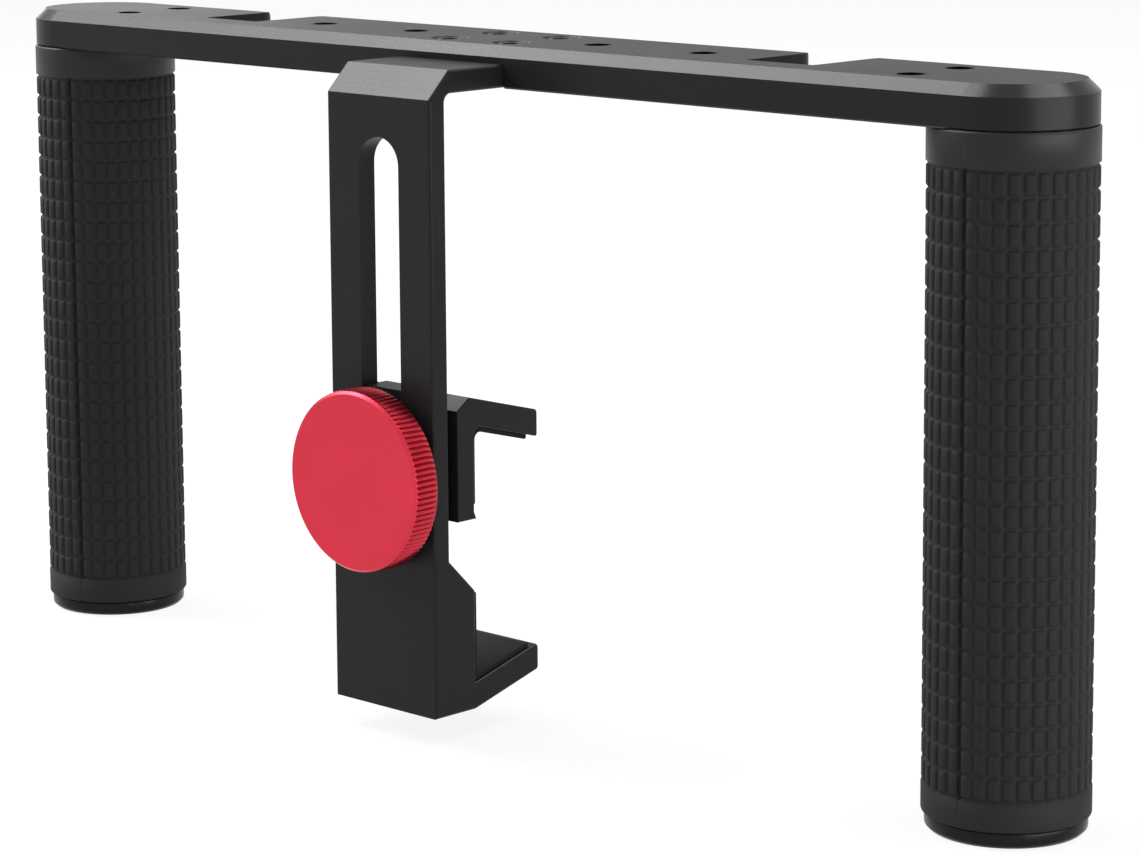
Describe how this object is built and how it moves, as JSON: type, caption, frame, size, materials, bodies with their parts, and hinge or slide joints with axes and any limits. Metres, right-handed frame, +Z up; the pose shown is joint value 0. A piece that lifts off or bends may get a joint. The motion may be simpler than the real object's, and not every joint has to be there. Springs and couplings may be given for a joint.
{
  "type": "phone camera cage",
  "caption": "Flat bar with two upright rubber grips and a slotted bracket whose sliding jaw, locked by a round knob, clamps a phone.",
  "frame": {"origin": "on the floor under the middle of the whole cage, front to back and left to right", "axes": "+Z up, +X along the bar to the cage's right as seen from the knob's side, +Y from the knob towards the bar's back"},
  "size_m": [0.311, 0.0646, 0.1496],
  "materials": {
    "black_anodised": "fine bead-blasted black anodising",
    "grip_rubber": "matt moulded rubber with rows of small blocks",
    "pad_rubber": "smooth matt rubber",
    "red_anodised": "satin red anodising",
    "black_steel": "black oxide",
    "steel": "zinc plated",
    "core_aluminium": "bare drawn tube",
    "cap_plastic": "moulded, slightly glossy"
  },
  "bodies": {
    "frame": {"bar": "black_anodised", "clamp_arm": "black_anodised", "arm_screws": "black_steel", "lower_tongue_pad": "pad_rubber", "block_pad": "pad_rubber", "left_handle_core": "core_aluminium", "right_handle_core": "core_aluminium", "left_grip_sleeve": "grip_rubber", "right_grip_sleeve": "grip_rubber", "left_end_cap": "cap_plastic", "right_end_cap": "cap_plastic", "left_handle_bolt": "steel", "right_handle_bolt": "steel", "left_bolt_washer": "steel", "right_bolt_washer": "steel"},
    "jaw": {"upper_jaw": "black_anodised", "upper_tongue_pad": "pad_rubber", "leg_pad": "pad_rubber"},
    "washer": {"knob_washer": "steel"},
    "knob": {"clamp_knob": "red_anodised", "clamp_stud": "steel"}
  },
  "joints": [
    {"name": "jaw_slide", "type": "slide", "parent": "frame", "child": "jaw", "axis": [0, 0, 1], "range_m": [-0.0075, 0.048]},
    {"name": "knob_travel", "type": "slide", "parent": "jaw", "child": "washer", "axis": [0, -1, 0], "range_m": [0, 0.0016]},
    {"name": "knob_turn", "type": "hinge", "parent": "washer", "child": "knob", "pos_m": [0, -0.028, 0.05751], "axis": [0, -1, 0], "range_deg": [0, 720]}
  ],
  "couplings": [
    {"joint": "knob_turn", "follows": "knob_travel", "rad_per_m": 7853.5}
  ]
}
